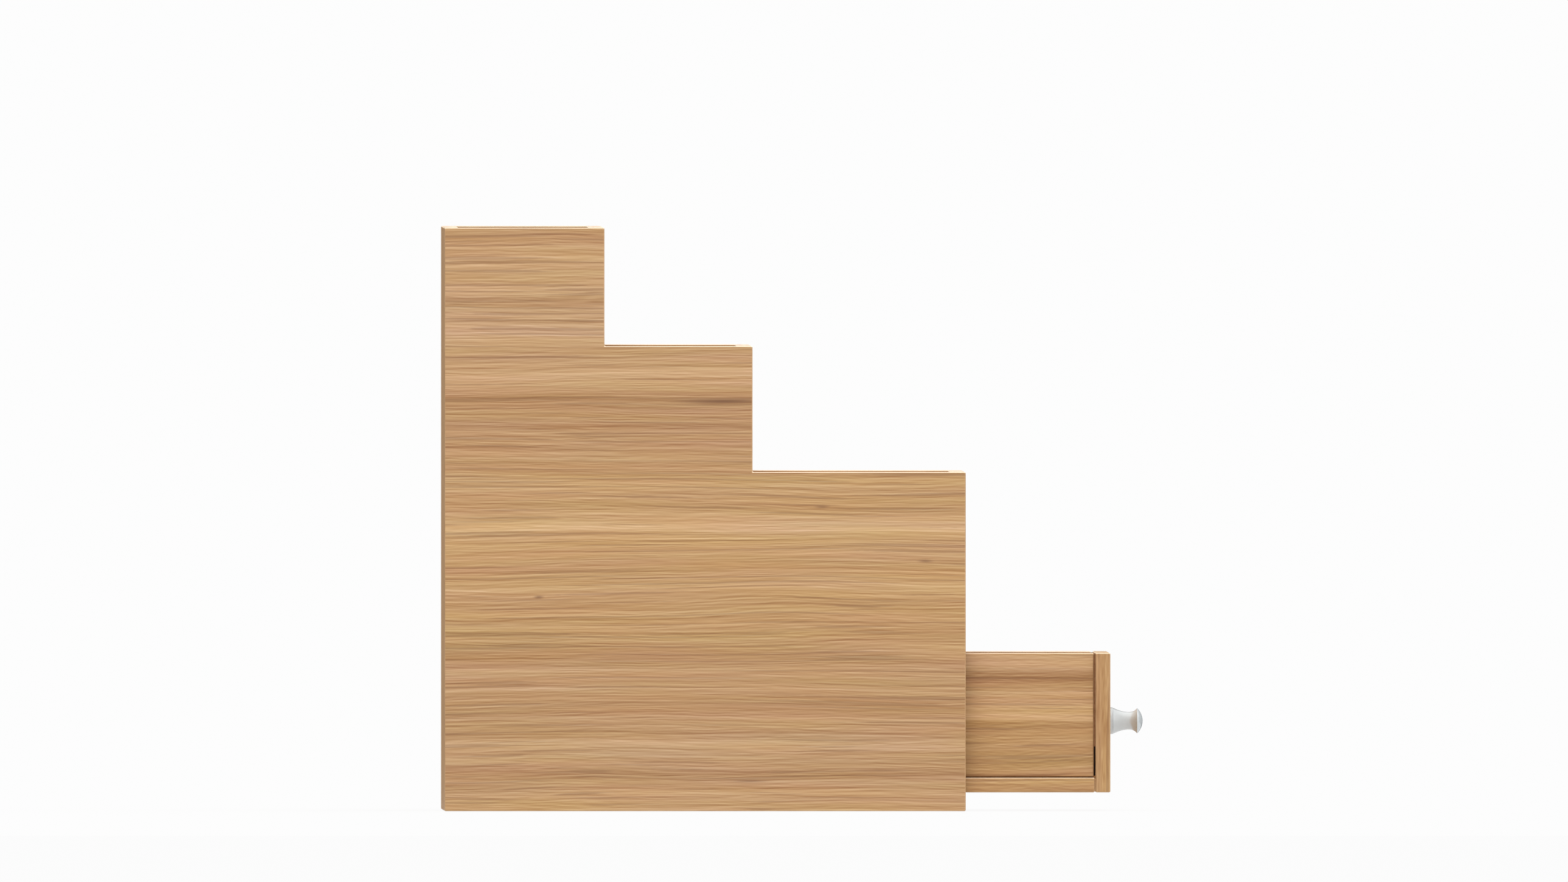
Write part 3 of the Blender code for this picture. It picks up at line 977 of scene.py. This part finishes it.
def paint_small_parts():
    """Gives the dowels, the screw and the washer, which keep their CAD shapes, better materials."""
    wooden, metal = beech(), zinc_plate()
    for node, thing in frame["nodes"].items():
        if node.startswith("dowel") or node in ("knob_screw", "knob_washer"):
            thing.data.materials.clear()
            thing.data.materials.append(wooden if node.startswith("dowel") else metal)


def make_world():
    """Makes the even white surroundings, dimmer towards the rear and brighter towards the front."""
    world = bpy.data.worlds.new("studio")
    bpy.context.scene.world = world
    world.use_nodes = True
    graph = Graph(tree=world.node_tree)
    parts = graph.parts(graph.node("TexCoord").outputs["Generated"])
    stops = [((x + 1) / 2, (tone, tone, tone)) for x, tone in WORLD_TONES]
    tones = graph.ramp(graph.remap(parts["X"], (-1.0, 1.0)), stops, smooth=True)
    below = graph.remap(parts["Z"], HORIZON, (1.0, 0.0))
    colour = graph.mix(below, tones, (*(UNDER_FLOOR,) * 3, 1.0))
    graph.feed(world.node_tree.nodes["Background"].inputs["Color"], colour)


def make_overhead_light():
    """Adds a very wide soft light from straight above that doesn't show in reflections."""
    data = bpy.data.lights.new("overhead", "SUN")
    data.energy = OVERHEAD_WATTS
    data.angle = math.radians(OVERHEAD_SPREAD)
    lamp = bpy.data.objects.new("overhead", data)
    lamp.visible_glossy = False
    bpy.context.scene.collection.objects.link(lamp)


def make_flags():
    """Stands black cards beyond the far side, seen only in gloss, that draw the dark outlines."""
    graph = Graph("black_felt", Roughness=1.0, Specular_IOR_Level=0.0)
    graph.paint((*(FLAG_BLACK,) * 3, 1.0))
    side_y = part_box("side_panel_right")[1].y
    for name, board, corner, rearmost, foremost, beyond, height in FLAGS:
        start_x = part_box(board)[corner].x
        near_y = side_y + beyond * MM
        low = Vector((start_x + rearmost * MM, near_y, FLAG_FOOT))
        high = Vector((start_x + foremost * MM, near_y + FLAG_THICKNESS, height * MM))
        card = mesh_object(name, box_shape(low, high))
        card.data.materials.append(graph.material)
        card.visible_camera = False
        card.visible_diffuse = False
        card.visible_shadow = False
        card.visible_transmission = False


def make_floor():
    """Makes a wide white floor that partly glows, so that it stays white under the part."""
    shape = bmesh.new()
    bmesh.ops.create_grid(shape, x_segments=1, y_segments=1, size=FLOOR_REACH)
    floor = mesh_object("floor", shape)
    graph = Graph("floor_white", Roughness=0.9, Specular_IOR_Level=0.0)
    graph.paint((*(FLOOR_ALBEDO,) * 3, 1.0))
    graph.shader.inputs["Emission Color"].default_value = (1.0, 1.0, 1.0, 1.0)
    graph.shader.inputs["Emission Strength"].default_value = FLOOR_GLOW
    floor.data.materials.append(graph.material)
    floor.location.z = -FLOOR_DROP


def make_camera():
    """Looks square at the left side, very slightly from the rear and from above."""
    low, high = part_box("side_panel_left")
    depth = high.x - low.x
    aim = Vector((low.x + CAMERA_AIM[0] * depth, low.y, CAMERA_AIM[1] * high.z))
    azimuth, elevation = math.radians(CAMERA_AZIMUTH), math.radians(CAMERA_ELEVATION)
    level = math.cos(elevation)
    away = Vector((math.sin(azimuth) * level, -math.cos(azimuth) * level, math.sin(elevation)))
    data = bpy.data.cameras.new("camera")
    data.type = "ORTHO"
    data.ortho_scale = CAMERA_WIDTH * depth
    data.clip_end = CAMERA_SIGHT
    camera = bpy.data.objects.new("camera", data)
    camera.location = aim + away * CAMERA_DISTANCE
    camera.rotation_euler = away.to_track_quat("Z", "Y").to_euler()
    bpy.context.scene.collection.objects.link(camera)
    bpy.context.scene.camera = camera


make_boards()
make_knob()
make_glides()
make_fillings()
paint_small_parts()
make_world()
make_overhead_light()
make_flags()
make_floor()
make_camera()
bpy.context.scene.view_settings.view_transform = "Standard"
